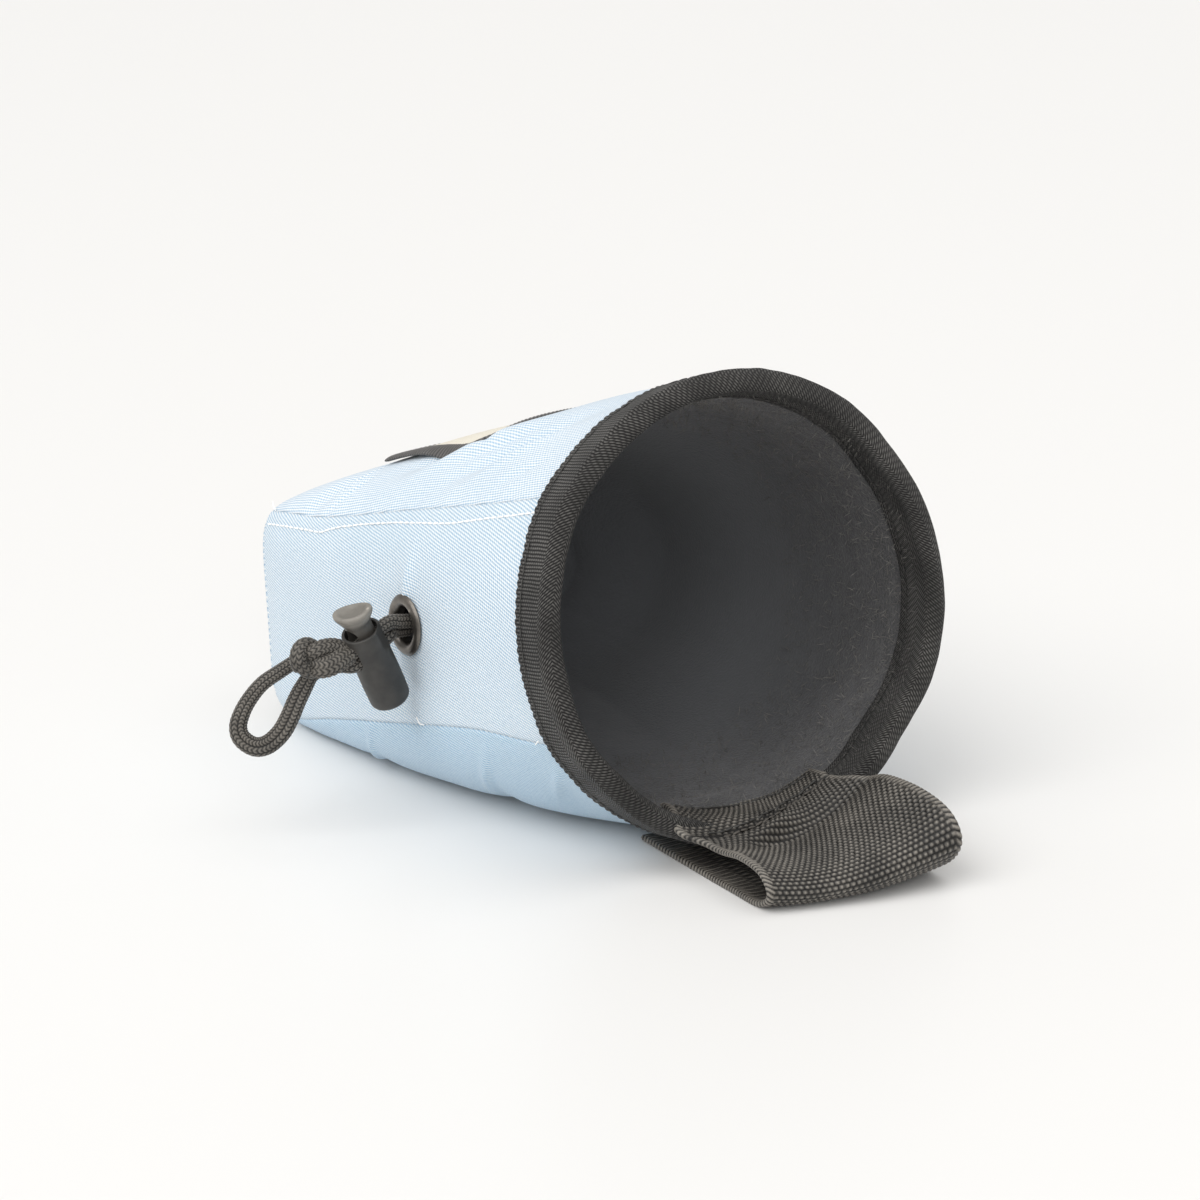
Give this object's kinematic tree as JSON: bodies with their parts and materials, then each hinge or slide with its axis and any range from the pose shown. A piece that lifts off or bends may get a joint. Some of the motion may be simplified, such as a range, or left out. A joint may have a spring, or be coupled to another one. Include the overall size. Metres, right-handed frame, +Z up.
{
  "type": "climbing chalk bag",
  "caption": "Light blue cloth chalk bag with a fleece-lined round mouth, webbing belt loop, drawcord and spring cord lock, lying on its back.",
  "frame": {"origin": "on the floor under the middle of the bag, measured without the drawcord and what is on it", "axes": "+Z up, +Y from the mouth and the belt loop towards the bottom of the bag, +X away from the eyelet"},
  "size_m": [0.1728, 0.2076, 0.1201],
  "materials": {
    "cotton_twill": "matte",
    "black_fleece": "matte",
    "herringbone_tape": "matte",
    "black_webbing": "matte",
    "patch_cream": "matte",
    "patch_thread": "satin",
    "gunmetal": "satin",
    "braided_cord": "satin",
    "lock_plastic": "matte",
    "plunger_plastic": "satin"
  },
  "bodies": {
    "bag": {"front_panel": "cotton_twill", "back_panel": "cotton_twill", "left_gusset": "cotton_twill", "right_gusset": "cotton_twill", "base_panel": "cotton_twill", "fleece_lining": "black_fleece", "rim_binding": "herringbone_tape", "belt_loop": "black_webbing", "patch_ground": "patch_cream", "patch_border": "patch_thread", "eyelet": "gunmetal", "drawcord_upper_strand": "braided_cord", "drawcord_lower_strand": "braided_cord", "drawcord_bight": "braided_cord", "drawcord_knot": "braided_cord", "cord_lock_barrel": "lock_plastic"},
    "lock_plunger": {"cord_lock_plunger": "plunger_plastic"}
  },
  "joints": [
    {"name": "lock_plunger_slide", "type": "slide", "parent": "bag", "child": "lock_plunger", "axis": [0.4219, 0.126, -0.8978], "range_m": [0, 0.004], "stiffness_N_per_m": 1000}
  ]
}
